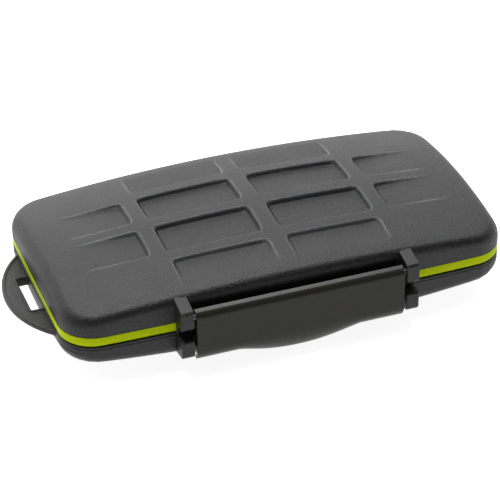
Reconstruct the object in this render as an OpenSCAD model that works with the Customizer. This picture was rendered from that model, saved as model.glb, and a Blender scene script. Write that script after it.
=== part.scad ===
// Hard memory card case with a crowned lid and base, a seal between them,
// two card trays, a wide front latch and a rear hinge.
// The origin is the middle of the flat that the case stands on.
// +X runs along the long side, +Y to the hinge, +Z up. Sizes are in millimetres.

/* [Shells] */
// Room between the card slots and the shells at the left and right ends
end_room = 5; // [4.5:0.1:12]
// Room between the card slots and the shells at the front and back
side_room = 1.45; // [0.9:0.05:4]
// How far the long sides bow outward at their middle
side_bow = 0.9; // [0.2:0.1:1.5]
// How far the short ends bow outward at their middle
end_bow = 0.2; // [0.1:0.1:0.5]
// Radius of the upright corners
corner_r = 9; // [7:0.5:11]
// Height of each half, from its rim to the middle of its crown
half_h = 11.1; // [10.8:0.1:14]
// Gap between the two rims
seam_gap = 2.9; // [2.6:0.1:4]
// Drop of the crown from its middle to the short ends
crown_drop_l = 3.45; // [0.5:0.05:3.6]
// Drop of the crown from its middle to the long sides
crown_drop_w = 3.4; // [1:0.1:4.2]
// Rounding between the crown and the side walls
edge_r = 3; // [1.5:0.25:4]
// Thickness of the side walls
side_wall = 3.2; // [2.8:0.1:3.6]
// Thickness of the wall under the crown
crown_wall = 2; // [1.8:0.1:2.4]
// Depth cut off the bottom crown so that the case stands flat
foot_cut = 0.4; // [0.2:0.1:0.8]

/* [Relief pockets] */
// Length of the middle pockets
pocket_l = 26.4; // [20:0.1:28]
// Depth of the middle pockets from front to back
pocket_w = 12.25; // [8:0.05:12.5]
// Width of the rib between left and right pockets
spine_w = 4.15; // [3:0.05:6]
// Width of the rib between the middle rows
middle_rib_w = 3.45; // [2.5:0.05:5]
// Width of the ribs before and behind the middle rows
outer_rib_w = 2.95; // [2:0.05:3.5]
// Width of the ribs beside the side pockets
cross_rib_w = 3.7; // [2.5:0.1:5]
// Distance from the ends at which the side pockets run out
side_margin = 10; // [8:0.5:13]
// Distance from the front and back at which the front and back pockets run out
end_margin = 5.25; // [4.25:0.25:6.25]
// Depth of the middle pockets
pocket_depth = 1.2; // [0.4:0.1:1.4]
// Depth of the side pockets at their inner end
side_depth = 1; // [0.4:0.1:1.2]
// Depth of the front and back pockets at their inner edge
end_depth = 0.8; // [0.3:0.1:1]
// Corner radius of the pockets
pocket_r = 1.6; // [0.8:0.1:3]

/* [Seal] */
// Distance of the seal's outer face behind the shells' faces
seal_inset = 0.1; // [0.1:0.05:0.3]
// Width of the seal band
seal_w = 2.75; // [2.5:0.05:2.8]
// Height of the seal band
seal_h = 2.25; // [1.6:0.05:2.4]
// Width of the lips that sit in the shells' grooves
lip_w = 0.9; // [0.6:0.1:1.2]
// Depth of the groove in each rim
groove_depth = 0.5; // [0.3:0.1:0.8]
// Side clearance of the lower lip in its groove
lip_clearance = 0.25; // [0.2:0.05:0.3]
// Gap between the lower lip and the floor of its groove
lip_gap = 0.1; // [0.05:0.05:0.2]

/* [Card trays] */
// Length of a card
card_l = 32; // [30:0.5:32.5]
// Width of a card
card_w = 24; // [21:0.5:24]
// Depth of a card slot
slot_depth = 2.4; // [2:0.1:2.6]
// Clearance round a card
card_clearance = 0.2; // [0.1:0.05:0.3]
// Wall between neighbouring slots
divider = 2; // [1.6:0.1:2.2]
// Wall round and under the slots
tray_wall = 1.2; // [1:0.1:1.4]
// Clearance between a tray and its shell
tray_clearance = 0.3; // [0.2:0.05:0.5]
// Height of a tray's deck above its rim
deck_rise = 1.2; // [0.8:0.05:1.25]
// Radius of the finger notches
notch_r = 7; // [5:0.5:9]
// How far the retaining nibs reach over a card
nib_reach = 0.5; // [0.3:0.1:0.6]
// Length of a retaining nib
nib_l = 5; // [3:0.5:8]
// Thickness of a retaining nib
nib_t = 0.3; // [0.2:0.05:0.3]
// Thickness of the ribs that carry the trays
rib_t = 1.2; // [0.8:0.1:2]
// How far the ribs' ends stay inside the ends of the slots
rib_inset = 3; // [0:0.5:8]

/* [Latch] */
// Width of the latch
latch_w = 56; // [40:1:60]
// Gap between the latch and each lug
latch_gap = 0.6; // [0.3:0.1:1]
// Width of each lug
lug_w = 3.4; // [2.5:0.1:5]
// How far the lugs stand out from the middle of the front wall
lug_reach = 4.8; // [4.6:0.1:6]
// How far the lid's lugs rise above the latch's barrel
lug_rise = 0.95; // [0.5:0.05:1.2]
// Thickness of the latch plate
latch_t = 1.8; // [1.4:0.1:2]
// Radius of the latch's pivot barrel
barrel_r = 2.1; // [1.9:0.05:2.2]
// Height of the latch's pivot above the lid's rim
pivot_h = 2.65; // [2.5:0.05:3.2]
// Diameter of the latch pins
latch_pin_d = 1.6; // [1.2:0.1:2]
// Length of each latch pin
latch_pin_l = 9; // [7:0.5:12]
// Height of the lower end of the latch plate above the base's crown
latch_foot_h = 4.35; // [4.2:0.05:4.8]
// Height of the catch bar on the base, below its rim
catch_drop = 2.4; // [1.8:0.1:3]
// Thickness of the catch bar
catch_t = 1.6; // [1.2:0.1:2]
// How far the catch bar stands out from the front wall
catch_reach = 1.9; // [1.6:0.1:2.2]
// Clearance between the catch bar's nose and the latch's hook
catch_clearance = 0.1; // [0.05:0.05:0.3]
// Height over which the plate's lower part leans inward
bend_h = 3.35; // [2.6:0.05:3.6]
// Inward lean of the plate's lower part in degrees
bend_lean = 12; // [8:1:20]
// Half width of the finger tab
tab_half_w = 15.5; // [8:0.5:20]
// How far the finger tab reaches below the latch plate
tab_drop = 2.6; // [1:0.1:3]
// Thickness of the finger tab
tab_t = 1.1; // [0.8:0.1:1.4]

/* [Hinge] */
// Distance of each hinge from the middle
hinge_x = 30; // [20:1:36]
// Radius of the knuckles
knuckle_r = 2.5; // [2.2:0.1:3]
// Gap between the knuckles and the back walls
knuckle_gap = 0.3; // [0.3:0.05:0.6]
// Length of a lid knuckle
lid_knuckle_l = 10; // [6:0.5:14]
// Length of each base knuckle
base_knuckle_l = 5; // [3:0.5:8]
// Gap between neighbouring knuckles
knuckle_play = 0.3; // [0.2:0.05:0.5]
// Diameter of the hinge pins
hinge_pin_d = 2; // [1.5:0.1:2.4]
// Depth of the pins' ends inside the outer knuckles
pin_recess = 0.3; // [0:0.1:0.8]
// Radial running clearance of a pin
pin_clearance = 0.05; // [0.02:0.01:0.1]

/* [Lanyard loop] */
// How far the loop stands out from the left end
loop_reach = 8.1; // [6:0.1:12]
// Radius of the loop's rim
loop_r = 26; // [20:0.5:40]
// Thickness of the loop
loop_t = 1.6; // [1.2:0.1:3]
// Drop of the loop's top face below the base's rim
loop_drop = 0.65; // [0.3:0.05:2]
// Length of the slot
slot_l = 15.2; // [8:0.2:20]
// Width of the slot
slot_w = 3.1; // [2.5:0.1:4.5]

/* [Hidden] */
$fn = 48;
eps = 0.01;
shell_grey = "#4a4b4d";
latch_grey = "#3c3b37";
lime = "#b9dc1f";
steel = "#c8c9cb";

// Levels
base_rim_z = half_h - foot_cut;
lid_rim_z = base_rim_z + seam_gap;
hinge_z = base_rim_z + seam_gap / 2;
seal_bottom_z = lid_rim_z - seal_h;

// Card slots
columns = [-1, 0, 1];
rows = [-1, 1];
slot_x = card_l + 2 * card_clearance;
slot_y = card_w + 2 * card_clearance;
slot_pitch_x = slot_x + divider;
slot_pitch_y = slot_y + divider;
slots_l = 3 * slot_pitch_x - divider;
slots_w = 2 * slot_pitch_y - divider;
tray_foot = slot_depth + tray_wall - deck_rise;

// Body round the card slots
case_l = slots_l + 2 * (tray_wall + end_room + side_wall);
case_w = slots_w + 2 * (tray_wall + side_room + side_wall);
half_l = case_l / 2;
half_w = case_w / 2;
straight_half_l = half_l - end_bow;
straight_half_w = half_w - side_bow;
front_y = -half_w - lug_reach;
pivot_y = front_y + barrel_r;
pivot_z = lid_rim_z + pivot_h;
latch_foot_z = latch_foot_h - foot_cut;
bend_z = latch_foot_z + bend_h;
lug_x = latch_w / 2 + latch_gap;
hinge_y = side_y(hinge_x) + knuckle_r + knuckle_gap;
station_half = lid_knuckle_l / 2 + knuckle_play + base_knuckle_l;
hinge_pin_l = 2 * (station_half - pin_recess);

// Radii of the crown along X and along Y
crown_r_l = (pow(half_l, 2) + pow(crown_drop_l, 2)) / (2 * crown_drop_l);
crown_r_w = (pow(half_w, 2) + pow(crown_drop_w, 2)) / (2 * crown_drop_w);

// Steps of the rounded outline and of its rounded edge
corner_steps = 5;
side_steps = 6;
end_steps = 4;
round_steps = 3;
round_end = 72;

// Height of the crown above the rim plane of a form with the given height
function crown(x, y, height) =
    height - crown_r_l
    + sqrt(pow(crown_r_l - crown_r_w + sqrt(pow(crown_r_w, 2) - y * y), 2) - x * x);

// Half depth of the body at x
function side_y(x) = straight_half_w + side_bow * (1 - pow(x / half_l, 2));

// Points of one straight stretch, without its last point
function stretch(a, b, steps) = [for (i = [0 : steps - 1]) a + (b - a) * i / steps];

// One corner arc, without its last point
function corner(cx, cy, r, start) =
    [for (i = [0 : corner_steps - 1])
        let (a = start + 90 * i / corner_steps) [cx + r * cos(a), cy + r * sin(a)]];

// Rounded rectangle, inset from the body's outline, before its sides are bowed
function plain_outline(inset) =
    let (
        x = straight_half_l - inset,
        y = straight_half_w - inset,
        r = max(corner_r - inset, 1)
    )
    concat(
        corner(x - r, y - r, r, 0),
        stretch([x - r, y], [r - x, y], side_steps),
        corner(r - x, y - r, r, 90),
        stretch([-x, y - r], [-x, r - y], end_steps),
        corner(r - x, r - y, r, 180),
        stretch([r - x, -y], [x - r, -y], side_steps),
        corner(x - r, r - y, r, 270),
        stretch([x, r - y], [x, y - r], end_steps)
    );

// The same outline with its sides bowed outward
function outline(inset) =
    [for (p = plain_outline(inset)) [
        p.x * (1 + end_bow * (1 - pow(p.y / half_w, 2)) / straight_half_l),
        p.y * (1 + side_bow * (1 - pow(p.x / half_l, 2)) / straight_half_w)
    ]];

ring_count = len(outline(0));

// One ring of the rounded edge, at an angle of a up from the side wall
function edge_ring(a) =
    [for (p = outline(edge_r * (1 - cos(a))))
        [p.x, p.y, crown(p.x, p.y, half_h) - edge_r * (1 - sin(a))]];

// Upright body with its edge rounded over, and open to above where the crown cuts it
module edge_form() {
    top = 2 * half_h;
    inner = edge_r * (1 - cos(round_end));
    rings = concat(
        [[for (p = outline(0)) [p.x, p.y, 0]]],
        [for (i = [0 : round_steps]) edge_ring(round_end * i / round_steps)],
        [[for (p = outline(inner)) [p.x, p.y, top]]]
    );
    last = len(rings) - 1;
    sides = [for (i = [0 : last - 1], j = [0 : ring_count - 1])
        let (
            k = (j + 1) % ring_count,
            a = i * ring_count + j,
            b = i * ring_count + k,
            c = (i + 1) * ring_count + k,
            d = (i + 1) * ring_count + j
        )
        each [[a, c, b], [a, d, c]]];
    bottom_face = [for (j = [0 : ring_count - 1]) j];
    top_face = [for (j = [ring_count - 1 : -1 : 0]) last * ring_count + j];
    polyhedron([for (ring = rings) each ring], concat([bottom_face], sides, [top_face]), convexity = 4);
}

// Solid under the crown of a form with the given height: an arc along Y, turned about an axis far below
module crown_form(height) {
    sweep = 2 * asin((half_l + 5) / crown_r_l);
    translate([0, 0, height - crown_r_l]) rotate([90, 0, 0]) rotate([0, 0, 90 - sweep / 2])
        rotate_extrude(angle = sweep, $fn = 720) intersection() {
            translate([crown_r_l - crown_r_w, 0]) circle(crown_r_w, $fn = 720);
            translate([crown_r_l - 3 * half_h, -half_w - 5]) square([4 * half_h, 2 * half_w + 10]);
        }
}

// Outer form of a half: rim at z = 0, crown upward
module outer_form() {
    intersection() {
        edge_form();
        crown_form(half_h);
    }
}

// Hollow of a half
module inner_form() {
    intersection() {
        translate([0, 0, -1]) linear_extrude(half_h) polygon(outline(side_wall));
        crown_form(half_h - crown_wall);
    }
}

module rounded_square(size, r) {
    translate([r, 0]) square([size.x - 2 * r, size.y]);
    translate([0, r]) square([size.x, size.y - 2 * r]);
    for (x = [r, size.x - r], y = [r, size.y - r]) {
        translate([x, y]) circle(r);
    }
}

// Upright cutter over a rectangle, ending at a sloped floor.
// The floor passes through [x, y, z] with the slopes given along x and y.
module pocket_cutter(from, size, floor_point, slope) {
    reach = case_l;
    intersection() {
        translate([from.x, from.y, 0]) linear_extrude(half_h * 2) rounded_square(size, pocket_r);
        translate(floor_point)
            rotate([atan(slope.y), -atan(slope.x), 0])
            translate([-reach, -reach, 0]) cube([2 * reach, 2 * reach, reach]);
    }
}

// Cutters of one quarter of the crown, x and y positive, for a form with its rim at z = 0
module quarter_pockets() {
    x0 = spine_w / 2;
    x1 = x0 + pocket_l;
    x2 = x1 + cross_rib_w;
    y0 = middle_rib_w / 2;
    y1 = y0 + pocket_w;
    y2 = y1 + outer_rib_w;
    mid_x = (x0 + x1) / 2;
    mid_y = (y0 + y1) / 2;
    slope_x = -2 * crown_drop_l * mid_x / pow(half_l, 2);
    slope_y = -2 * crown_drop_w * mid_y / pow(half_w, 2);
    pocket_cutter([x0, y0], [pocket_l, pocket_w],
        [mid_x, mid_y, crown(mid_x, mid_y, half_h) - pocket_depth], [slope_x, slope_y]);

    side_floor = crown(x2, mid_y, half_h) - side_depth;
    x3 = half_l - side_margin;
    side_slope = (crown(x3, mid_y, half_h) - side_floor) / (x3 - x2);
    pocket_cutter([x2, y0], [x3 + pocket_r - x2, pocket_w],
        [x2, mid_y, side_floor], [side_slope, slope_y]);

    end_floor = crown(mid_x, y2, half_h) - end_depth;
    y3 = half_w - end_margin;
    end_slope = (crown(mid_x, y3, half_h) - end_floor) / (y3 - y2);
    pocket_cutter([x0, y2], [pocket_l, y3 + pocket_r - y2],
        [mid_x, y2, end_floor], [slope_x, end_slope]);
}

module relief_pockets() {
    for (x = [0, 1], y = [0, 1]) {
        mirror([x, 0, 0]) mirror([0, y, 0]) quarter_pockets();
    }
}

// Flat ring that follows the outline between two insets
module outline_ring(outer_inset, width, height) {
    linear_extrude(height) difference() {
        polygon(outline(outer_inset));
        polygon(outline(outer_inset + width));
    }
}

// Ribs that carry a tray, from the crown wall up to the tray's slots
module tray_ribs() {
    rib_l = slots_l - 2 * rib_inset;
    for (row = rows) {
        translate([-rib_l / 2, row * slot_pitch_y / 2 - rib_t / 2, tray_foot])
            cube([rib_l, rib_t, half_h - tray_foot]);
    }
}

// One half of the case with its rim at z = 0 and its crown upward
module half_shell() {
    difference() {
        outer_form();
        difference() {
            inner_form();
            tray_ribs();
        }
        relief_pockets();
    }
}

// Cutter of the groove in a rim at z = 0, with the given clearance beside the seal's lip
module rim_groove(clearance) {
    translate([0, 0, -eps])
        outline_ring(lip_inset - clearance, lip_w + 2 * clearance, groove_depth + eps);
}

// Bar along X with the given profile in the plane of Y and Z
module bar_along_x(from_x, length) {
    translate([from_x, 0, 0]) rotate([90, 0, 90]) linear_extrude(length) children();
}

module cylinder_along_x(from_x, length, d, y, z) {
    translate([from_x, y, z]) rotate([0, 90, 0]) cylinder(h = length, d = d);
}

lip_inset = seal_inset + (seal_w - lip_w) / 2;

module base_lugs() {
    wall_y = -side_y(lug_x) + side_wall / 2;
    top_z = base_rim_z;
    foot_z = latch_foot_z + 1;
    for (x = [-lug_x - lug_w, lug_x]) {
        bar_along_x(x, lug_w) polygon([
            [wall_y, top_z], [front_y + 0.5, top_z], [front_y, top_z - 0.5],
            [front_y, foot_z + 0.8], [front_y + 0.6, foot_z], [wall_y, foot_z - 1]
        ]);
    }
}

module catch_bar() {
    top_z = base_rim_z - catch_drop;
    nose_y = -half_w - catch_reach;
    wall_y = -side_y(lug_x) + side_wall / 2;
    bar_along_x(-lug_x - eps, 2 * (lug_x + eps)) polygon([
        [wall_y, top_z + 0.9], [-half_w, top_z + 0.9], [nose_y, top_z - 0.3],
        [nose_y, top_z - catch_t], [wall_y, top_z - catch_t]
    ]);
}

// Knuckle profile with its arm towards a back wall; up is 1 for the lid and -1 for the base
module knuckle_profile(up) {
    wall_y = side_y(hinge_x + station_half) - side_wall / 2;
    rim = up * seam_gap / 2;
    translate([hinge_y, hinge_z]) circle(knuckle_r);
    polygon([
        [wall_y, hinge_z + rim + up * 0.6],
        [hinge_y, hinge_z],
        [hinge_y + 0.8 * knuckle_r, hinge_z + up * 0.5 * knuckle_r],
        [wall_y, hinge_z + up * (knuckle_r + 4.5)]
    ]);
}

module base_knuckles() {
    for (side = [-1, 1], end = [-1, 1]) {
        middle = side * hinge_x + end * (station_half - base_knuckle_l / 2);
        bar_along_x(middle - base_knuckle_l / 2, base_knuckle_l) knuckle_profile(-1);
    }
}

module lid_knuckles() {
    for (side = [-1, 1]) {
        bar_along_x(side * hinge_x - lid_knuckle_l / 2, lid_knuckle_l) knuckle_profile(1);
    }
}

module lanyard_loop() {
    top_z = base_rim_z - loop_drop;
    difference() {
        intersection() {
            translate([-half_l - loop_reach + loop_r, 0, top_z - loop_t]) cylinder(h = loop_t, r = loop_r, $fn = 96);
            translate([-half_l - loop_reach, -loop_r, top_z - loop_t])
                cube([loop_reach + side_wall / 2, 2 * loop_r, loop_t]);
        }
        translate([-half_l - slot_w, -slot_l / 2, top_z - 2 * loop_t]) cube([slot_w, slot_l, 3 * loop_t]);
    }
}

module base_shell() {
    color(shell_grey) difference() {
        union() {
            translate([0, 0, base_rim_z]) mirror([0, 0, 1]) half_shell();
            base_lugs();
            catch_bar();
            base_knuckles();
            lanyard_loop();
        }
        translate([0, 0, base_rim_z]) mirror([0, 0, 1]) rim_groove(lip_clearance);
        translate([-case_l, -case_l, -half_h]) cube([2 * case_l, 2 * case_l, half_h]);
        for (side = [-1, 1]) {
            cylinder_along_x(side * hinge_x - station_half - eps, 2 * (station_half + eps),
                hinge_pin_d, hinge_y, hinge_z);
        }
    }
}

module lid_lugs() {
    wall_y = -side_y(lug_x) + side_wall / 2;
    root_y = -side_y(lug_x) + edge_r * 0.7;
    root_z = lid_rim_z + crown(lug_x + lug_w, root_y, half_h) - edge_r * 0.05;
    top_z = pivot_z + barrel_r + lug_rise;
    for (x = [-lug_x - lug_w, lug_x]) {
        bar_along_x(x, lug_w) polygon([
            [wall_y, lid_rim_z], [front_y + 0.7, lid_rim_z], [front_y, lid_rim_z + 0.7],
            [front_y, top_z - 0.7], [front_y + 0.3, top_z - 0.2], [front_y + 0.8, top_z],
            [root_y, root_z], [wall_y, root_z - 1]
        ]);
    }
}

module lid_shell() {
    color(shell_grey) difference() {
        union() {
            translate([0, 0, lid_rim_z]) half_shell();
            lid_lugs();
            lid_knuckles();
        }
        translate([0, 0, lid_rim_z]) rim_groove(0);
        for (side = [-1, 1]) {
            cylinder_along_x(side * hinge_x - station_half, 2 * station_half,
                hinge_pin_d + 2 * pin_clearance, hinge_y, hinge_z);
        }
        for (side = [-1, 1]) {
            cylinder_along_x(side * (lug_x + lug_w / 2) - lug_w, 2 * lug_w, latch_pin_d, pivot_y, pivot_z);
        }
    }
}

module seal_ring() {
    color(lime) union() {
        translate([0, 0, seal_bottom_z]) outline_ring(seal_inset, seal_w, seal_h);
        translate([0, 0, base_rim_z - groove_depth + lip_gap])
            outline_ring(lip_inset, lip_w, seal_bottom_z - base_rim_z + groove_depth - lip_gap);
        translate([0, 0, lid_rim_z]) outline_ring(lip_inset, lip_w, groove_depth);
    }
}

// Tray with its shell's rim at z = 0 and its slots opening downward
module card_tray() {
    difference() {
        union() {
            translate([0, 0, -deck_rise]) linear_extrude(tray_wall)
                polygon(outline(side_wall + tray_clearance));
            translate([0, 0, -deck_rise]) linear_extrude(slot_depth + tray_wall) intersection() {
                square([slots_l + 2 * tray_wall, slots_w + 2 * tray_wall], center = true);
                polygon(outline(side_wall + tray_clearance));
            }
        }
        for (c = columns, r = rows) {
            translate([c * slot_pitch_x, r * slot_pitch_y / 2, -deck_rise - eps])
                linear_extrude(slot_depth + eps) square([slot_x, slot_y], center = true);
        }
        for (c = columns) {
            translate([c * slot_pitch_x, 0, -deck_rise - eps]) cylinder(h = slot_depth + eps, r = notch_r);
        }
    }
    for (c = columns, r = rows, side = [-1, 1]) {
        reach = nib_reach + card_clearance;
        translate([c * slot_pitch_x + side * (slot_x - reach) / 2, r * slot_pitch_y / 2, nib_t / 2 - deck_rise])
            cube([reach, nib_l, nib_t], center = true);
    }
}

module base_card_tray() {
    color(lime) translate([0, 0, base_rim_z]) mirror([0, 0, 1]) card_tray();
}

module lid_card_tray() {
    color(lime) translate([0, 0, lid_rim_z]) card_tray();
}

module latch() {
    back_y = front_y + latch_t;
    hook_z = base_rim_z - catch_drop - catch_t - 0.3;
    hook_y = -half_w - catch_reach - catch_clearance;
    color(latch_grey) difference() {
        union() {
            bar_along_x(-latch_w / 2, latch_w) union() {
                translate([pivot_y, pivot_z]) circle(barrel_r);
                polygon([
                    [front_y, pivot_z], [pivot_y, pivot_z], [back_y, pivot_z - barrel_r],
                    [back_y, hook_z + 0.6], [hook_y, hook_z], [hook_y, hook_z - 0.7],
                    [front_y + bend_h * tan(bend_lean), latch_foot_z], [front_y, bend_z]
                ]);
            }
            finger_tab();
        }
        cylinder_along_x(-latch_w, 2 * latch_w, latch_pin_d + 2 * pin_clearance, pivot_y, pivot_z);
    }
}

module finger_tab() {
    tab_r = (pow(tab_half_w, 2) + pow(tab_drop, 2)) / (2 * tab_drop);
    reach = bend_h / cos(bend_lean) + tab_drop;
    translate([0, front_y, bend_z]) rotate([bend_lean, 0, 0]) intersection() {
        translate([-tab_half_w, 0, -reach]) cube([2 * tab_half_w, tab_t, tab_drop + 0.6]);
        translate([0, 2 * tab_t, tab_r - reach]) rotate([90, 0, 0]) cylinder(h = 4 * tab_t, r = tab_r, $fn = 180);
    }
}

module latch_pin() {
    cylinder_along_x(0, latch_pin_l, latch_pin_d, pivot_y, pivot_z);
}

module hinge_pin() {
    cylinder_along_x(-hinge_pin_l / 2, hinge_pin_l, hinge_pin_d, hinge_y, hinge_z);
}

module latch_pin_left() {
    color(steel) translate([-lug_x - lug_w, 0, 0]) latch_pin();
}

module latch_pin_right() {
    color(steel) translate([lug_x + lug_w - latch_pin_l, 0, 0]) latch_pin();
}

module hinge_pin_left() {
    color(steel) translate([-hinge_x, 0, 0]) hinge_pin();
}

module hinge_pin_right() {
    color(steel) translate([hinge_x, 0, 0]) hinge_pin();
}

base_shell();
lid_shell();
seal_ring();
base_card_tray();
lid_card_tray();
latch();
latch_pin_left();
latch_pin_right();
hinge_pin_left();
hinge_pin_right();
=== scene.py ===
"""Looks of the memory card case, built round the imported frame."""

import math

import bmesh
import bpy
import numpy as np
from mathutils import Matrix, Vector


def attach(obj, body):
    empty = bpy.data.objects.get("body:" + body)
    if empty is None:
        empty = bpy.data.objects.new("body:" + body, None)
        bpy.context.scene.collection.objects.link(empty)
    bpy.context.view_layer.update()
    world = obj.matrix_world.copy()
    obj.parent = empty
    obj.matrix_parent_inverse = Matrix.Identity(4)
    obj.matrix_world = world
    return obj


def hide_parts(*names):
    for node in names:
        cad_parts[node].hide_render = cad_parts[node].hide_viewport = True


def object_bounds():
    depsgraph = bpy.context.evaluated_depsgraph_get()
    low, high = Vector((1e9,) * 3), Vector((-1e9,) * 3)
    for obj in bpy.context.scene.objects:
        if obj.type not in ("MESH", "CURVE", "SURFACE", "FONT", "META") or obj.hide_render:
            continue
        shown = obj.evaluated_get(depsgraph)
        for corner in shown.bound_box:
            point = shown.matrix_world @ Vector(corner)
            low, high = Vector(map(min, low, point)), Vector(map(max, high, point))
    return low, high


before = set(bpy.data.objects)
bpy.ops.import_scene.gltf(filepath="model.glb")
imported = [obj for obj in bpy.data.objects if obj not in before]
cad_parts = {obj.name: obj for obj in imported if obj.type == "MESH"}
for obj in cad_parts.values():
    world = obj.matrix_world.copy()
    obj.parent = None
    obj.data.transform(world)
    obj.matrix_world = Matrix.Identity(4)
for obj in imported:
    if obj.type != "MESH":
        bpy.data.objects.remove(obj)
cad_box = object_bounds()

# Lengths of the shapes are in millimetres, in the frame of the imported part
MM = 0.001

# Body of the case, with x along it, y across it and z up
HALF_L = 60.0
HALF_W = 31.25
HALF_H = 11.1
END_BOW = 0.2
SIDE_BOW = 0.9
CORNER_R = 9.0
DROP_L = 3.45
DROP_W = 3.4
WALL = 3.2
FOOT_CUT = 0.4
SEAM = 2.9
BASE_RIM = HALF_H - FOOT_CUT
LID_RIM = BASE_RIM + SEAM
STRAIGHT_L = HALF_L - END_BOW
STRAIGHT_W = HALF_W - SIDE_BOW
CORNER_X = STRAIGHT_L - CORNER_R
CORNER_Y = STRAIGHT_W - CORNER_R


# Camera

FOCAL_PX = 2279.0
FRAME_PX = 500
SENSOR = 36.0
CAMERA_PLACE = (-168.85, -476.70, 340.62)
YAW = -0.3383
PITCH = 0.5806
ROLL = -0.0150


def add_camera():
    """Camera at the photograph's place, from the solved yaw, pitch and roll."""
    back = Vector((math.sin(YAW) * math.cos(PITCH), -math.cos(YAW) * math.cos(PITCH), math.sin(PITCH)))
    right = Vector((math.cos(YAW), math.sin(YAW), 0))
    up = back.cross(right)
    rolled_right = math.cos(ROLL) * right + math.sin(ROLL) * up
    rolled_up = back.cross(rolled_right)
    data = bpy.data.cameras.new("camera")
    data.sensor_width = SENSOR
    data.lens = FOCAL_PX / FRAME_PX * SENSOR
    data.clip_start = 0.01
    camera = bpy.data.objects.new("camera", data)
    bpy.context.scene.collection.objects.link(camera)
    turn = Matrix((rolled_right, rolled_up, back)).transposed()
    camera.matrix_world = Matrix.Translation(Vector(CAMERA_PLACE) * MM) @ turn.to_4x4()
    bpy.context.scene.camera = camera


add_camera()


# Mesh helpers

def make_object(name, verts, faces, body, smooth_angle=35):
    """Mesh object from points in millimetres, with consistent normals."""
    points = [tuple(float(c) * MM for c in v) for v in verts]
    mesh = bpy.data.meshes.new(name)
    mesh.from_pydata(points, [], [tuple(int(i) for i in f) for f in faces])
    mesh.validate()
    bm = bmesh.new()
    bm.from_mesh(mesh)
    bmesh.ops.recalc_face_normals(bm, faces=bm.faces)
    bm.to_mesh(mesh)
    bm.free()
    obj = bpy.data.objects.new(name, mesh)
    bpy.context.scene.collection.objects.link(obj)
    mesh.shade_smooth()
    mesh.set_sharp_from_angle(angle=math.radians(smooth_angle))
    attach(obj, body)
    return obj


def arc(cx, cy, r, start, end, steps):
    """Points of an arc round a centre, from start to end in degrees."""
    angles = [math.radians(start + (end - start) * i / steps) for i in range(steps + 1)]
    return [(cx + r * math.cos(a), cy + r * math.sin(a)) for a in angles]


def loft(points, sections, closed=False):
    """Faces between sections of equally many points, and from the last to the first if closed."""
    faces = []
    for i in range(sections if closed else sections - 1):
        low = i * points
        high = (i + 1) % sections * points
        for j in range(points):
            k = (j + 1) % points
            faces.append((low + j, low + k, high + k, high + j))
    return faces


def joined(parts):
    """Several sets of points and faces as one."""
    verts, faces = [], []
    for part_verts, part_faces in parts:
        faces += [tuple(i + len(verts) for i in face) for face in part_faces]
        verts += list(part_verts)
    return verts, faces


def bow(points):
    """Plain rounded-rectangle coordinates with the sides bowed outward."""
    p = np.array(points, float)
    x, y = p[:, 0].copy(), p[:, 1].copy()
    p[:, 0] = x * (1 + END_BOW * (1 - (y / HALF_W) ** 2) / STRAIGHT_L)
    p[:, 1] = y * (1 + SIDE_BOW * (1 - (x / HALF_L) ** 2) / STRAIGHT_W)
    return p


# Crown and its sunk fields: where they start and end along x and y, and where the outer ones fade out

COLUMN_START = 2.08
COLUMN_END = 28.48
ROW_START = 1.73
ROW_END = 13.99
END_START = 32.18
END_FADE = 50.0
SIDE_START = 16.95
SIDE_FADE = 25.9
PAST_FADE = 4.0
FIELD_DEPTH = 1.2
END_DEPTH = 1.05
SIDE_DEPTH = 0.9
FIELD_R = 1.9
FIELD_EDGE_R = 0.7
FIELD_FILLET = 0.25
WALL_ANGLE = math.radians(50)
WALL_START = 0.3

# Bright edges of the fields, where the base colour carries a painted highlight and the roughness is lower:
# the shares of the depth that they span, and the lengths they fade over
BRIGHT_LOW = 0.04
BRIGHT_HIGH = 0.45
BRIGHT_BLEND = 0.2
END_BRIGHT_FADE = 5
SIDE_BRIGHT_FADE = 4

# Grid that carries the fields, with its lines close together across their walls
GRID_X = 50.8
GRID_Y = 25.9
GRID_FINE = 0.12
GRID_COARSE = 1.2
ROW_BOW = 0.0877
BOW_BLEND = 17.5

CROWN_R_L = (HALF_L**2 + DROP_L**2) / (2 * DROP_L)
CROWN_R_W = (HALF_W**2 + DROP_W**2) / (2 * DROP_W)


def crown(x, y):
    """Height of the crown above the rim of a half."""
    across = CROWN_R_L - CROWN_R_W + np.sqrt(CROWN_R_W**2 - y * y)
    return HALF_H - CROWN_R_L + np.sqrt(across**2 - x * x)


def bow_grid(points):
    """Bowed coordinates of the grid, with the middle rows bowed more than the sides."""
    p = np.array(points, float)
    reach = np.clip((np.abs(p[:, 1]) - BOW_BLEND) / (GRID_Y - BOW_BLEND), 0, 1)
    share = reach * reach * (3 - 2 * reach)
    rows = p[:, 1] * (1 - ROW_BOW * (p[:, 0] / HALF_L) ** 2)
    bowed = bow(p)
    bowed[:, 1] = share * bowed[:, 1] + (1 - share) * rows
    return bowed


def wall_profile():
    """Distances in from the start of a field's wall, and the share of the depth reached at each."""
    turns = np.linspace(0, WALL_ANGLE, 9)
    edge_in = FIELD_EDGE_R * np.sin(turns)
    edge_drop = FIELD_EDGE_R * (1 - np.cos(turns))
    fillet_in = FIELD_FILLET * np.sin(turns)
    fillet_drop = FIELD_FILLET * (1 - np.cos(turns))
    straight_drop = FIELD_DEPTH - edge_drop[-1] - fillet_drop[-1]
    wall_w = edge_in[-1] + straight_drop / math.tan(WALL_ANGLE) + fillet_in[-1]
    distance = np.concatenate([edge_in, wall_w - fillet_in[::-1]])
    drop = np.concatenate([edge_drop, FIELD_DEPTH - fillet_drop[::-1]])
    return distance, drop / FIELD_DEPTH


WALL_DISTANCE, WALL_SHARE = wall_profile()
WALL_REACH = float(WALL_DISTANCE[-1])


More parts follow.
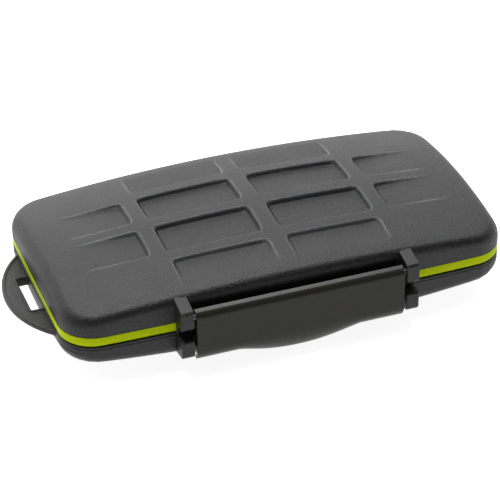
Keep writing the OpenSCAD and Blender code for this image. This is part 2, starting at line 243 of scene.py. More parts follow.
def sunk(u, v, u0, u1, v0, v1):
    """How far a field has sunk at a point, from 0 at its rim to 1 on its floor."""
    cu, cv = (u0 + u1) / 2, (v0 + v1) / 2
    du = np.abs(u - cu) - ((u1 - u0) / 2 - FIELD_R)
    dv = np.abs(v - cv) - ((v1 - v0) / 2 - FIELD_R)
    outside = np.hypot(np.maximum(du, 0), np.maximum(dv, 0))
    inside = FIELD_R - outside - np.minimum(np.maximum(du, dv), 0)
    return np.interp(inside + WALL_START, WALL_DISTANCE, WALL_SHARE)


def sunk_fields(u, v):
    """How far the middle, end and side fields have sunk at points on one quarter of the crown."""
    middle = sunk(u, v, COLUMN_START, COLUMN_END, ROW_START, ROW_END)
    end = sunk(u, v, END_START, END_FADE + PAST_FADE, ROW_START, ROW_END)
    side = sunk(u, v, COLUMN_START, COLUMN_END, SIDE_START, SIDE_FADE + PAST_FADE)
    return middle, end, side


def bright_edge(u, v):
    """1 on the rounded upper edges of the fields and 0 away from them: the mask of their painted highlight
    and polish.
    """
    u, v = np.abs(u), np.abs(v)
    end_fade = np.clip((END_FADE - u) / END_BRIGHT_FADE, 0, 1)
    side_fade = np.clip((SIDE_FADE - v) / SIDE_BRIGHT_FADE, 0, 1)
    edges = []
    for share, fade in zip(sunk_fields(u, v), (1, end_fade, side_fade)):
        above = np.clip((BRIGHT_HIGH - share) / BRIGHT_BLEND, 0, 1)
        edges.append(np.clip(share / BRIGHT_LOW, 0, 1) * above * fade)
    return np.maximum.reduce(edges)


def relief(u, v):
    """Depth of the fields under the crown."""
    u, v = np.abs(u), np.abs(v)
    end_fade = np.clip((END_FADE - u) / (END_FADE - END_START), 0, 1)
    side_fade = np.clip((SIDE_FADE - v) / (SIDE_FADE - SIDE_START), 0, 1)
    middle, end, side = sunk_fields(u, v)
    return FIELD_DEPTH * middle + END_DEPTH * end_fade * end + SIDE_DEPTH * side_fade * side


def grid_lines(edges, limit):
    """Grid lines from -limit to limit, close together across the walls at the given edges."""
    marks = set()
    for edge in edges:
        last = WALL_REACH - WALL_START + 1.1 * GRID_FINE
        for offset in np.arange(-WALL_START - GRID_FINE, last, GRID_FINE):
            marks.update((round(edge + offset, 4), round(edge - offset, 4)))
    lines = [0.0]
    for mark in sorted(m for m in marks if m < limit) + [limit]:
        gap = mark - lines[-1]
        if gap <= 0:
            continue
        n = max(1, math.ceil(gap / GRID_COARSE))
        lines += [lines[-1] + gap * (i + 1) / n for i in range(n)]
    return np.array([-x for x in lines[:0:-1]] + lines)


# Shells: rings of points lead from the grid's edge over the rounded edge and down to the rim

# From these places on, the grid's edge leads along the rest of a straight side and round half a corner
CORNER_FROM_X = 46.0
CORNER_FROM_Y = 17.5

# Rounded edge between the crown and the walls: its angles are measured from the level
SIDE_EDGE_R = 2.4
END_EDGE_R = 4.4
EDGE_START = math.radians(76)
EDGE_ANGLES = (73, 69, 64, 56, 47, 38, 29, 20, 10, 0)

# Soft crease above the rounded edge
SIDE_SOFTNESS = 0.35
END_SOFTNESS = 0.5
SIDE_LEAD_IN = 2.2
END_LEAD_IN = 4.0
LEAD_SHARES = (0.35, 0.7)
CREASE_SHARES = (1, 0.75, 0.55, 0.4, 0.28, 0.19, 0.11, 0.05, 0)

# Fine line round the base under its rim, as pairs of inset and height
LINE_START = 2.2
LINE_PROFILE = ((0, 0.95), (0.12, 0.85), (0.12, 0.62), (0, 0.52))

# Rim, seal groove and inner face of the wall, the last as pairs of inset past WALL and height
RIM_R = 0.22
RIM_ANGLES = (0, 30, 60, 90)
GROOVE_DEPTH = 0.5
INNER_PROFILE = ((-0.25, 0), (-0.07, 0.07), (0, 0.25), (0, 3.4))


def along_outline(place, corner_from, limit, straight):
    """Distance along a straight side that a place on the grid's edge leads to, and turn at its corner."""
    if place <= corner_from:
        return place, 0
    corner_share = (place - corner_from) / (limit - corner_from)
    run = corner_from + corner_share * (straight - corner_from + CORNER_R * math.pi / 4)
    return min(run, straight), max(run - straight, 0) / CORNER_R


def outline_target(u, v):
    """Point of the plain outline that a point of the grid's edge leads to, and the normal there."""
    if abs(u) >= GRID_X - 1e-6:
        y, turn = along_outline(abs(v), CORNER_FROM_Y, GRID_Y, CORNER_Y)
        centre = (CORNER_X, y)
        a = turn
    else:
        x, turn = along_outline(abs(u), CORNER_FROM_X, GRID_X, CORNER_X)
        centre = (x, CORNER_Y)
        a = math.pi / 2 - turn
    signs = np.array([1 if u >= 0 else -1, 1 if v >= 0 else -1])
    normal = signs * np.array([math.cos(a), math.sin(a)])
    return signs * np.array(centre) + CORNER_R * normal, normal


def shell_mesh(groove_inset, groove_w, lined):
    """Points, faces and bright edges of one half, with its rim at z = 0 and its crown upward."""
    us = grid_lines([COLUMN_START, COLUMN_END, END_START], GRID_X)
    vs = grid_lines([ROW_START, ROW_END, SIDE_START], GRID_Y)
    nu, nv = len(us), len(vs)
    uu, vv = (grid.ravel() for grid in np.meshgrid(us, vs, indexing="ij"))
    flat = bow_grid(np.stack([uu, vv], 1))
    z = crown(flat[:, 0], flat[:, 1]) - relief(uu, vv)
    verts = [np.column_stack([flat, z])]
    faces = [
        (i * nv + j, (i + 1) * nv + j, (i + 1) * nv + j + 1, i * nv + j + 1)
        for i in range(nu - 1) for j in range(nv - 1)
    ]
    loop = (
        [(i, 0) for i in range(nu - 1)] + [(nu - 1, j) for j in range(nv - 1)]
        + [(i, nv - 1) for i in range(nu - 1, 0, -1)] + [(0, j) for j in range(nv - 1, 0, -1)]
    )
    ring = [i * nv + j for i, j in loop]
    start = np.array([[us[i], vs[j]] for i, j in loop])
    targets = [outline_target(u, v) for u, v in start]
    edge = np.array([point for point, direction in targets])
    normal = np.array([direction for point, direction in targets])
    count = len(loop)
    total = nu * nv

    def add_ring(points, heights):
        nonlocal ring, total
        verts.append(np.column_stack([bow(points), np.full(count, heights)]))
        new = [total + k for k in range(count)]
        faces.extend((ring[k], ring[(k + 1) % count], new[(k + 1) % count], new[k]) for k in range(count))
        ring = new
        total += count

    def on_crown(points):
        b = bow(points)
        return crown(b[:, 0], b[:, 1])

    def by_side(side_value, end_value):
        share = normal[:, :1] ** 2
        return end_value * share + side_value * (1 - share)

    edge_r = by_side(SIDE_EDGE_R, END_EDGE_R)
    lead_in = by_side(SIDE_LEAD_IN, END_LEAD_IN)
    softness = by_side(SIDE_SOFTNESS, END_SOFTNESS)[:, 0]
    crease = edge - edge_r * (1 - math.cos(EDGE_START)) * normal

    def soften(drop):
        return (drop + np.sqrt(drop**2 + softness**2)) / 2

    first_drop = soften(-lead_in[:, 0] / math.tan(EDGE_START))

    def add_edge_ring(points, drop):
        add_ring(points, on_crown(points) - soften(drop) + first_drop)

    for t in LEAD_SHARES:
        points = start + (crease - lead_in * normal - start) * t
        add_ring(points, on_crown(points))
    for t in CREASE_SHARES:
        inward = lead_in * t
        add_edge_ring(crease - inward * normal, -inward[:, 0] / math.tan(EDGE_START))
    for angle in EDGE_ANGLES:
        a = math.radians(angle)
        drop = edge_r[:, 0] * (math.sin(EDGE_START) - math.sin(a))
        add_edge_ring(edge - edge_r * (1 - math.cos(a)) * normal, drop)
    side_top = on_crown(edge) - edge_r[:, 0] * math.sin(EDGE_START)
    side_foot = LINE_START if lined else 0
    for t in (0.5, 1):
        add_ring(edge, side_top * (1 - t) + side_foot * t)
    if lined:
        for inset, height in LINE_PROFILE:
            add_ring(edge - inset * normal, height)
    for angle in RIM_ANGLES:
        a = math.radians(angle)
        add_ring(edge - RIM_R * (1 - math.cos(a)) * normal, RIM_R * (1 - math.sin(a)))
    groove = [
        (groove_inset, 0), (groove_inset, GROOVE_DEPTH),
        (groove_inset + groove_w, GROOVE_DEPTH), (groove_inset + groove_w, 0),
    ]
    for inset, height in groove + [(WALL + inset, height) for inset, height in INNER_PROFILE]:
        add_ring(edge - inset * normal, height)
    faces.append(tuple(ring))
    bright = np.zeros(total)
    bright[:nu * nv] = bright_edge(uu, vv)
    return np.concatenate(verts), faces, bright


def lid_place(points):
    """A half's points raised to the lid's place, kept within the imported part's box."""
    p = points + np.array([0, 0, LID_RIM])
    p[:, 2] = np.minimum(p[:, 2], cad_box[1][2] / MM)
    return p


def base_place(points):
    """A half's points turned over to the base's place, with the flat that the case stands on."""
    p = points * np.array([1, 1, -1]) + np.array([0, 0, BASE_RIM])
    p[:, 2] = np.maximum(p[:, 2], 0)
    return p


def shell_skin(name, node, body, place, **mesh_options):
    """Fine mesh that stands in for a shell's solid."""
    verts, faces, bright = shell_mesh(**mesh_options)
    obj = make_object(name, place(verts), faces, body)
    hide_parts(node)
    # Mask of the painted highlight and lower roughness on the fields' edges
    attribute = obj.data.attributes.new("edge", "FLOAT", "POINT")
    attribute.data.foreach_set("value", bright)
    return obj


lid_skin = shell_skin(
    "lid_shell_skin", "lid_shell", "lid", lid_place, groove_inset=1.025, groove_w=0.9, lined=False)
base_skin = shell_skin(
    "base_shell_skin", "base_shell", "base", base_place, groove_inset=0.775, groove_w=1.4, lined=True)


# Lugs and catch bar

FRONT_Y = -36.05
WALL_Y = -29.4
LUG_X = 28.6
LUG_W = 3.4
LUG_SKIN = 0.06
LUG_TOP = 18.6
LUG_FOOT = 6.1
LUG_ROOT = -28.4
WEB_BACK = -31.08
WEB_FRONT = -31.8
WEB_TOP = 13.4
CATCH_Y = -HALF_W - 1.9
CATCH_TOP = 9.2
CATCH_FOOT = 6.7
CATCH_HALF = LUG_X + 0.2


def round_edges(obj, width):
    """Round every edge of a form and keep its flat faces flat to the eye."""
    bevel = obj.modifiers.new("bevel", "BEVEL")
    bevel.width = width * MM
    bevel.segments = 3
    bevel.limit_method = "ANGLE"
    bevel.angle_limit = math.radians(24)
    obj.modifiers.new("normals", "WEIGHTED_NORMAL").keep_sharp = True


def prism(profile, x0, x1):
    """Points and faces of a form along X with a profile of (y, z) points."""
    n = len(profile)
    verts = [(x, y, z) for x in (x0, x1) for y, z in profile]
    return verts, [tuple(range(n)), tuple(range(2 * n - 1, n - 1, -1))] + loft(n, 2)


def shell_part(name, parts, body, node, width):
    """Forms of a shell that stand out from its skin, as one piece with rounded edges."""
    obj = make_object(name, *joined(parts), body, smooth_angle=180)
    round_edges(obj, width)
    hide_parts(node)
    return obj


base_lug = [
    (WALL_Y, BASE_RIM), (WEB_BACK, BASE_RIM), (WEB_BACK, WEB_TOP), (WEB_FRONT, WEB_TOP),
    (WEB_FRONT, BASE_RIM), (FRONT_Y + 0.5, BASE_RIM), (FRONT_Y, BASE_RIM - 0.5),
    (FRONT_Y, LUG_FOOT), (FRONT_Y + 0.6, LUG_FOOT - 0.8), (WALL_Y, LUG_FOOT - 1.8),
]
lid_lug = [
    (WALL_Y, LID_RIM), (FRONT_Y + 0.7, LID_RIM), (FRONT_Y, LID_RIM + 0.7), (FRONT_Y, LUG_TOP),
    (FRONT_Y + 0.3, LUG_TOP + 0.5), (FRONT_Y + 0.8, LUG_TOP + 0.7),
    (LUG_ROOT - 0.5, LUG_TOP + 1.9), (LUG_ROOT, LUG_TOP + 0.9),
]
lug_spans = [(-LUG_X - LUG_W - LUG_SKIN, -LUG_X), (LUG_X, LUG_X + LUG_W + LUG_SKIN)]
base_lugs = shell_part(
    "base_lugs", [prism(base_lug, *span) for span in lug_spans], "base", "base_shell", 0.35)
lid_lugs = shell_part(
    "lid_lugs", [prism(lid_lug, *span) for span in lug_spans], "lid", "lid_shell", 0.35)
catch = [
    (WALL_Y, CATCH_TOP), (-HALF_W, CATCH_TOP), (CATCH_Y, CATCH_TOP - 1.2), (CATCH_Y, CATCH_FOOT),
    (WALL_Y, CATCH_FOOT),
]
catch_bar = shell_part("catch_bar", [prism(catch, -CATCH_HALF, CATCH_HALF)], "base", "base_shell", 0.2)


# Hinge knuckles

HINGE_X = 30.0
HINGE_Y = 33.825
HINGE_Z = 12.15
KNUCKLE_R = 2.5
KNUCKLE_W = 5.0
KNUCKLE_GAP = 0.3
KNUCKLE_END = 205
ARM_LEAN = math.degrees(math.atan2(0.5, 0.8))
ARM_Y = 29.0
ARM_Z = 2.05
ARM_REACH = 4.5


def knuckle(x0, x1, up):
    """A hinge knuckle with its arm to the back wall; up is 1 for the lid and -1 for the base."""
    arm_end = HINGE_Z + up * (KNUCKLE_R + ARM_REACH)
    profile = arc(HINGE_Y, HINGE_Z, KNUCKLE_R, up * ARM_LEAN, -up * KNUCKLE_END, 24)
    profile += [(ARM_Y, HINGE_Z + up * ARM_Z), (ARM_Y, arm_end), (ARM_Y + 1, arm_end - up * 0.6)]
    return prism(profile, x0, x1)


outer_starts = (-2 * KNUCKLE_W - KNUCKLE_GAP, KNUCKLE_W + KNUCKLE_GAP)
base_starts = [side * HINGE_X + start for side in (-1, 1) for start in outer_starts]
base_knuckles = shell_part(
    "base_knuckles", [knuckle(x, x + KNUCKLE_W, -1) for x in base_starts], "base", "base_shell", 0.25)
lid_spans = [(side * HINGE_X - KNUCKLE_W, side * HINGE_X + KNUCKLE_W) for side in (-1, 1)]
lid_knuckles = shell_part("lid_knuckles", [knuckle(*span, 1) for span in lid_spans], "lid", "lid_shell", 0.25)


# Lanyard loop

LOOP_R = 26.0
LOOP_REACH = 8.08
LOOP_X = -HALF_L - LOOP_REACH + LOOP_R
LOOP_ROOT = -56.5
LOOP_TOP = 10.05
LOOP_T = 1.6
COLLAR_H = 2.85
SLOT_L = 15.2
SLOT_W = 3.1
SLOT_R = 0.35
SLOT_OVERLAP = 0.02


def rounded_box(x0, x1, y0, y1, r):
    """Outline of a rectangle with rounded corners, running anticlockwise."""
    corners = ((x1 - r, y1 - r, 0), (x0 + r, y1 - r, 90), (x0 + r, y0 + r, 180), (x1 - r, y0 + r, 270))
    return [point for cx, cy, start in corners for point in arc(cx, cy, r, start, start + 90, 6)]


def lanyard_loop():
    """Plate with an arc for its outer edge, a raised rim, and a slot with a deeper collar."""
    bottom = LOOP_TOP - LOOP_T
    collar = LOOP_TOP - COLLAR_H
    outer_profile = (
        (0.35, bottom), (0.1, bottom + 0.1), (0.0, bottom + 0.35), (0.0, LOOP_TOP - 0.3),
        (0.08, LOOP_TOP - 0.1), (0.3, LOOP_TOP), (0.7, LOOP_TOP), (0.85, LOOP_TOP - 0.05),
        (0.95, LOOP_TOP - 0.22),
    )
    slot_profile = (
        (1.2, bottom), (1.2, collar + 0.3), (0.9, collar), (0.3, collar), (0.0, collar + 0.3),
        (0.0, LOOP_TOP - 0.3), (0.08, LOOP_TOP - 0.1), (0.3, LOOP_TOP), (0.6, LOOP_TOP),
        (0.72, LOOP_TOP - 0.05), (0.8, LOOP_TOP - 0.22),
    )
    half_angle = math.degrees(math.acos((LOOP_X - LOOP_ROOT) / LOOP_R))
    bm = bmesh.new()

    def outer_inset(d):
        return arc(LOOP_X, 0, LOOP_R - d, 180 - half_angle, 180 + half_angle, 72)

    def slot_outset(d):
        return rounded_box(
            -HALF_L - SLOT_W - d, -HALF_L + SLOT_OVERLAP + d, -SLOT_L / 2 - d, SLOT_L / 2 + d, SLOT_R + d)

    def walls(outline, profile):
        """Faces through an outline's copies at a profile's offsets and heights; the end rings come back."""
        rings = [[bm.verts.new((x, y, z)) for x, y in outline(d)] for d, z in profile]
        for low, high in zip(rings, rings[1:]):
            for i in range(len(low)):
                j = (i + 1) % len(low)
                bm.faces.new((low[i], low[j], high[j], high[i]))
        return rings[0], rings[-1]

    for ends in zip(walls(outer_inset, outer_profile), walls(slot_outset, slot_profile)):
        edges = []
        for ring in ends:
            for i in range(len(ring)):
                pair = (ring[i], ring[(i + 1) % len(ring)])
                edges.append(bm.edges.get(pair) or bm.edges.new(pair))
        bmesh.ops.triangle_fill(bm, edges=edges, use_beauty=True, use_dissolve=False)
    bm.verts.index_update()
    verts = [tuple(v.co) for v in bm.verts]
    faces = [tuple(v.index for v in f.verts) for f in bm.faces]
    bm.free()
    return verts, faces


loop_piece = make_object("lanyard_loop", *lanyard_loop(), "base", smooth_angle=40)
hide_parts("base_shell")


# Latch

LATCH_HALF = 28.0
LATCH_T = 1.8
PIVOT_Y = -33.95
PIVOT_Z = 16.25
BARREL_R = 2.1
CREST_LEAN = math.radians(22)
CREST_L = 1.0
HOOK_Y = -HALF_W - 2.0
HOOK_Z = 6.4
FOOT_TOP = 7.26
FOOT_R = 4.55
FOOT_TURN = 57
FOOT_T = 1.1
TAB_HALF = 16.5
TAB_R = 10.3
TAB_TURN = 42
TAB_POWER = 1.3

# Outline of the curled foot, as pairs of the share of its turn and the share of its thickness
FOOT_EDGE = (
    (0.5, 1), (0.75, 1), (0.96, 1), (1, 0.8), (1, 0.45), (0.96, 0.2), (0.9, 0.07), (0.82, 0), (0.7, 0),
    (0.56, 0), (0.42, 0), (0.28, 0), (0.14, 0), (0, 0),
)


def latch_profile(x):
    """Section of the latch: barrel, plate, hook and curled foot, which is deeper across the finger tab."""
    tab = max(0, 1 - (x / TAB_HALF) ** 2) ** TAB_POWER
    r = FOOT_R + (TAB_R - FOOT_R) * tab
    turn = math.radians(FOOT_TURN + (TAB_TURN - FOOT_TURN) * tab)
    profile = arc(PIVOT_Y, PIVOT_Z, BARREL_R, 180, 90 + math.degrees(CREST_LEAN), 12)
    front_y, front_z = profile[-1]
    crest_y = front_y + CREST_L * math.cos(CREST_LEAN)
    crest_z = front_z + CREST_L * math.sin(CREST_LEAN)
    profile += [(crest_y, crest_z), (crest_y + 0.2, crest_z - 0.5), (crest_y + 0.9, crest_z - 0.85)]
    profile += arc(PIVOT_Y, PIVOT_Z, BARREL_R, 32, -80, 14)
    profile += [
        (FRONT_Y + LATCH_T, PIVOT_Z - BARREL_R), (FRONT_Y + LATCH_T, HOOK_Z + 0.6), (HOOK_Y, HOOK_Z),
        (HOOK_Y, HOOK_Z - 0.7),
    ]
    for share, depth in FOOT_EDGE:
        point_r = r - FOOT_T * depth
        a = turn * share
        profile.append((FRONT_Y + r - point_r * math.cos(a), FOOT_TOP - point_r * math.sin(a)))
    return profile


def latch_plate():
    """Latch plate from its sections along X, close together across the finger tab."""
    xs = [-LATCH_HALF, *np.linspace(-TAB_HALF, TAB_HALF, 49), LATCH_HALF]
    verts = [(x, y, z) for x in xs for y, z in latch_profile(x)]
    n = len(verts) // len(xs)
    return verts, loft(n, len(xs)) + [tuple(range(n)), tuple(range(len(verts) - n, len(verts)))]


latch_skin = make_object("latch_skin", *latch_plate(), "latch", smooth_angle=180)
round_edges(latch_skin, 0.12)
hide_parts("latch")


# Seal

SEAL_FOOT = 11.05
SEAL_FACE = 0.04
SEAL_BACK = 2.85
LIP_FACE = 1.03
LIP_BACK = 1.92
LIP_TOP = 14.1
LIP_FOOT = 10.3
CORNER_STEPS = 16
SIDE_STEPS = 32
END_STEPS = 24


def ring_outline(inset):
    """Bowed outline of the body, inset by a distance."""
    r = CORNER_R - inset
    points = []
    for sx, sy, start in ((1, 1, 0), (-1, 1, 90), (-1, -1, 180), (1, -1, 270)):
        points += arc(sx * CORNER_X, sy * CORNER_Y, r, start, start + 90, CORNER_STEPS)
        if start in (0, 180):
            shares = [1 - 2 * i / SIDE_STEPS for i in range(1, SIDE_STEPS)]
            points += [(sx * CORNER_X * share, sy * (CORNER_Y + r)) for share in shares]
        else:
            shares = [1 - 2 * i / END_STEPS for i in range(1, END_STEPS)]
            points += [(sx * (CORNER_X + r), sy * CORNER_Y * share) for share in shares]
    return bow(points)


def seal():
    """Band with a bulging outer face and a lip that sits in each shell's groove."""
    profile = [
        (LIP_FACE, LID_RIM), (LIP_FACE, LIP_TOP - 0.02), (LIP_FACE + 0.1, LIP_TOP),
        (LIP_BACK - 0.1, LIP_TOP), (LIP_BACK, LIP_TOP - 0.02), (LIP_BACK, LID_RIM),
        (SEAL_BACK, LID_RIM), (SEAL_BACK, SEAL_FOOT),
        (LIP_BACK, SEAL_FOOT), (LIP_BACK, LIP_FOOT), (LIP_FACE, LIP_FOOT), (LIP_FACE, SEAL_FOOT),
        (0.4, SEAL_FOOT), (0.2, SEAL_FOOT + 0.05), (0.08, SEAL_FOOT + 0.17), (SEAL_FACE, SEAL_FOOT + 0.35),
        (SEAL_FACE, LID_RIM - 0.25), (0.08, LID_RIM - 0.1), (0.2, LID_RIM - 0.02), (0.4, LID_RIM),
    ]
    rings = []
    for inset, z in profile:
        outline = ring_outline(inset)
        rings.append(np.column_stack([outline, np.full(len(outline), z)]))
    return np.concatenate(rings), loft(len(rings[0]), len(rings), closed=True)


seal_skin = make_object("seal_band", *seal(), "lid", smooth_angle=40)
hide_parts("seal_ring")


# Materials, with lengths in metres

CLOUD_SCALE = 90
SPECK_SHARE = 0.45
STEEL_SCALE = (6000, 400, 400)
GRAIN_ROUGHNESS = 0.06
CLOUD_ROUGHNESS = 0.03
# On the fields' edges: a painted highlight, the light tone times this factor, and roughness lower by the
# polish
RIM_HIGHLIGHT_FACTOR = 4
BRIGHT_POLISH = 0.22


def new_material(name):
    """Material with its nodes and links."""
    material = bpy.data.materials.new(name)
    material.use_nodes = True
    return material, material.node_tree.nodes, material.node_tree.links


def add_noise(nodes, links, scale, detail, roughness=0.5):
    """Noise texture in the frame of the part, with features of 1 / scale metres."""
    place = nodes.new("ShaderNodeTexCoord")
    noise = nodes.new("ShaderNodeTexNoise")
    noise.inputs["Scale"].default_value = scale
    noise.inputs["Detail"].default_value = detail
    noise.inputs["Roughness"].default_value = roughness
    links.new(place.outputs["Object"], noise.inputs["Vector"])
    return noise.outputs["Fac"]


def add_ramp(nodes, links, source, stops):
    """Colours blended along a value; stops are (position, colour)."""
    ramp = nodes.new("ShaderNodeValToRGB")
    elements = ramp.color_ramp.elements
    while len(elements) < len(stops):
        elements.new(0.5)
    for element, (position, colour) in zip(elements, stops):
        element.position = position
        element.color = (*colour, 1)
    links.new(source, ramp.inputs["Fac"])
    return ramp.outputs["Color"]


def add_range(nodes, links, source, low, high, from_low=0.3, from_high=0.7):
    """Value carried from one range to another, and held at its ends."""
    span = nodes.new("ShaderNodeMapRange")
    span.inputs["From Min"].default_value = from_low
    span.inputs["From Max"].default_value = from_high
    span.inputs["To Min"].default_value = low
    span.inputs["To Max"].default_value = high
    links.new(source, span.inputs["Value"])
    return span.outputs["Result"]


def add_sum(nodes, links, first, second, factor=1):
    """The first value times a factor, plus the second."""
    total = nodes.new("ShaderNodeMath")
    total.operation = "MULTIPLY_ADD"
    total.inputs[1].default_value = factor
    links.new(first, total.inputs[0])
    links.new(second, total.inputs[2])
    return total.outputs["Value"]


def add_bump(nodes, links, height, depth, normal=None):
    """Bump of a given depth."""
    bump = nodes.new("ShaderNodeBump")
    bump.inputs["Strength"].default_value = 1
    bump.inputs["Distance"].default_value = depth
    links.new(height, bump.inputs["Height"])
    if normal:
        links.new(normal, bump.inputs["Normal"])
    return bump.outputs["Normal"]


def moulded_plastic(name, dark, light, gloss, rough, grain_depth, grain_scale):
    """Moulded plastic: fine grain and broad clouding, with a painted highlight in the base colour and lower
    roughness on the fields' edges.
    """
    material, nodes, links = new_material(name)
    shader = nodes["Principled BSDF"]
    shader.inputs["Specular IOR Level"].default_value = gloss
    edge = nodes.new("ShaderNodeAttribute")
    edge.attribute_name = "edge"
    grain = add_noise(nodes, links, grain_scale, 2)
    cloud = add_noise(nodes, links, CLOUD_SCALE, 3)
    speck = add_noise(nodes, links, grain_scale * SPECK_SHARE, 4, 0.7)
    # Painted highlight: the speckled tone turns to a lighter colour on the fields' edges
    tone_and_painted_highlight = nodes.new("ShaderNodeMix")
    tone_and_painted_highlight.data_type = "RGBA"
    links.new(edge.outputs["Fac"], tone_and_painted_highlight.inputs["Factor"])
    links.new(add_ramp(nodes, links, speck, ((0.35, dark), (0.65, light))), tone_and_painted_highlight.inputs["A"])
    tone_and_painted_highlight.inputs["B"].default_value = [RIM_HIGHLIGHT_FACTOR * channel for channel in light] + [1]
    links.new(tone_and_painted_highlight.outputs["Result"], shader.inputs["Base Color"])
    fine = add_range(nodes, links, grain, rough - GRAIN_ROUGHNESS, rough + GRAIN_ROUGHNESS)
    broad = add_range(nodes, links, cloud, -CLOUD_ROUGHNESS, CLOUD_ROUGHNESS)
    polished = add_sum(nodes, links, edge.outputs["Fac"], add_sum(nodes, links, fine, broad), -BRIGHT_POLISH)
    links.new(polished, shader.inputs["Roughness"])
    coarse = add_bump(nodes, links, speck, grain_depth)
    links.new(add_bump(nodes, links, grain, grain_depth, coarse), shader.inputs["Normal"])
    return material


def drawn_steel():
    """Bright drawn pin with fine rings along its length."""
    material, nodes, links = new_material("drawn_steel")
    shader = nodes["Principled BSDF"]
    shader.inputs["Metallic"].default_value = 1
    stretch = nodes.new("ShaderNodeMapping")
    stretch.inputs["Scale"].default_value = STEEL_SCALE
    place = nodes.new("ShaderNodeTexCoord")
    links.new(place.outputs["Object"], stretch.inputs["Vector"])
    noise = nodes.new("ShaderNodeTexNoise")
    noise.inputs["Scale"].default_value = 1
    links.new(stretch.outputs["Vector"], noise.inputs["Vector"])
    lines = noise.outputs["Fac"]
    colours = ((0.3, (0.5, 0.5, 0.51)), (0.7, (0.72, 0.72, 0.73)))
    links.new(add_ramp(nodes, links, lines, colours), shader.inputs["Base Color"])
    links.new(add_range(nodes, links, lines, 0.2, 0.34), shader.inputs["Roughness"])
    links.new(add_bump(nodes, links, lines, 0.000006), shader.inputs["Normal"])
    return material


shell_material = moulded_plastic(
    "shell_plastic", dark=(0.009, 0.0092, 0.010), light=(0.026, 0.0265, 0.0282), gloss=0.5, rough=0.36,
    grain_depth=0.00013, grain_scale=3300)
latch_material = moulded_plastic(
    "latch_plastic", dark=(0.0270, 0.0262, 0.0212), light=(0.0300, 0.0292, 0.0238), gloss=0.34, rough=0.26,
    grain_depth=0.000002, grain_scale=5200)
seal_material = moulded_plastic(
    "lime_rubber", dark=(0.71, 0.88, 0.001), light=(0.77, 0.96, 0.002), gloss=0.1, rough=0.5,
    grain_depth=0.00001, grain_scale=2500)
tray_material = moulded_plastic(
    "tray_plastic", dark=(0.40, 0.56, 0.01), light=(0.46, 0.64, 0.015), gloss=0.4, rough=0.5,
    grain_depth=0.00002, grain_scale=3000)
steel_material = drawn_steel()

shell_pieces = (lid_skin, base_skin, base_lugs, lid_lugs, catch_bar, base_knuckles, lid_knuckles, loop_piece)
for pieces, material, slot in (
    (shell_pieces, shell_material, "shell"),
    ((latch_skin,), latch_material, "latch"),
    ((seal_skin,), seal_material, "seal"),
):
    for obj in pieces:
        obj.data.materials.clear()
        obj.data.materials.append(material)

carried_over = {
    "base_card_tray": tray_material,
    "lid_card_tray": tray_material,
    "latch_pin_left": steel_material,
    "latch_pin_right": steel_material,
    "hinge_pin_left": steel_material,
    "hinge_pin_right": steel_material,
}
for node, material in carried_over.items():
    for slot in bpy.data.objects[node].material_slots:
        slot.material = material


# Floor, lamp and world, with lengths in metres

FLOOR_HALF = 3.0
FLOOR_LEVEL = -0.0001
FLOOR_GLOW = 0.9
FLOOR_REFLECTION = 0.93
LAMP_PLACE = (0.0, 0.25, 1.0)
LAMP_SIZE = (0.8, 0.45)
LAMP_POWER = 7.0


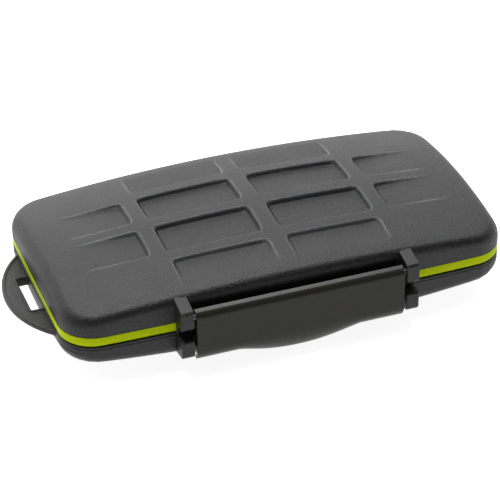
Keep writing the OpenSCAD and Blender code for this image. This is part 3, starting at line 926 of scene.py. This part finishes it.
def add_stage():
    """White floor, lit evenly for the camera and for the case's own reflections."""
    corners = ((-1, -1), (1, -1), (1, 1), (-1, 1))
    mesh = bpy.data.meshes.new("floor")
    mesh.from_pydata([(x * FLOOR_HALF, y * FLOOR_HALF, FLOOR_LEVEL) for x, y in corners], [], [(0, 1, 2, 3)])
    floor = bpy.data.objects.new("floor", mesh)
    bpy.context.scene.collection.objects.link(floor)
    material, nodes, links = new_material("floor_white")
    shader = nodes["Principled BSDF"]
    shader.inputs["Roughness"].default_value = 0.9
    paper = add_noise(nodes, links, 40, 2)
    colours = ((0.3, (0.9, 0.9, 0.9)), (0.7, (0.91, 0.91, 0.91)))
    path = nodes.new("ShaderNodeLightPath")
    tone = nodes.new("ShaderNodeMix")
    tone.data_type = "RGBA"
    links.new(path.outputs["Is Glossy Ray"], tone.inputs["Factor"])
    links.new(add_ramp(nodes, links, paper, colours), tone.inputs["A"])
    tone.inputs["B"].default_value = (0.02, 0.02, 0.02, 1)
    links.new(tone.outputs["Result"], shader.inputs["Base Color"])
    reflected = add_range(nodes, links, path.outputs["Is Glossy Ray"], 0, FLOOR_REFLECTION, 0, 1)
    glow = add_sum(nodes, links, path.outputs["Is Camera Ray"], reflected, FLOOR_GLOW)
    shader.inputs["Emission Color"].default_value = (1, 1, 1, 1)
    links.new(glow, shader.inputs["Emission Strength"])
    floor.data.materials.append(material)


def add_area(name, place, target, size, power):
    """Rectangular lamp that faces a target."""
    data = bpy.data.lights.new(name, "AREA")
    data.shape = "RECTANGLE"
    data.size, data.size_y = size
    data.energy = power
    light = bpy.data.objects.new(name, data)
    bpy.context.scene.collection.objects.link(light)
    light.location = place
    light.rotation_euler = (Vector(target) - Vector(place)).to_track_quat("-Z", "Y").to_euler()


def add_world():
    """White to the camera; to the object a studio with a white sweep behind it and a dark room in front."""
    world = bpy.data.worlds.new("studio")
    world.use_nodes = True
    nodes, links = world.node_tree.nodes, world.node_tree.links
    background = nodes["Background"]
    background.inputs["Color"].default_value = (1, 1, 1, 1)
    direction = nodes.new("ShaderNodeTexCoord")
    split = nodes.new("ShaderNodeSeparateXYZ")
    links.new(direction.outputs["Generated"], split.inputs["Vector"])
    y, z = split.outputs["Y"], split.outputs["Z"]
    front = add_range(nodes, links, z, low=0.7, high=0.04, from_low=0.0, from_high=0.14)
    upper_sweep = add_range(nodes, links, y, low=0.62, high=1.09, from_low=0.4, from_high=0.76)
    lower_sweep = add_range(nodes, links, y, low=0, high=0.7, from_low=0.75, from_high=0.98)
    behind = add_range(nodes, links, y, low=0, high=1, from_low=-0.3, from_high=0.4)
    path = nodes.new("ShaderNodeLightPath")
    room = nodes.new("ShaderNodeMix")
    links.new(behind, room.inputs["Factor"])
    links.new(front, room.inputs["A"])
    links.new(add_sum(nodes, links, upper_sweep, lower_sweep), room.inputs["B"])
    strength = nodes.new("ShaderNodeMix")
    links.new(path.outputs["Is Camera Ray"], strength.inputs["Factor"])
    links.new(room.outputs["Result"], strength.inputs["A"])
    strength.inputs["B"].default_value = 1
    links.new(strength.outputs["Result"], background.inputs["Strength"])
    bpy.context.scene.world = world


add_stage()
add_area("top_softbox", LAMP_PLACE, (0, 0, 0), LAMP_SIZE, LAMP_POWER)
add_world()
bpy.context.scene.view_settings.view_transform = "Standard"
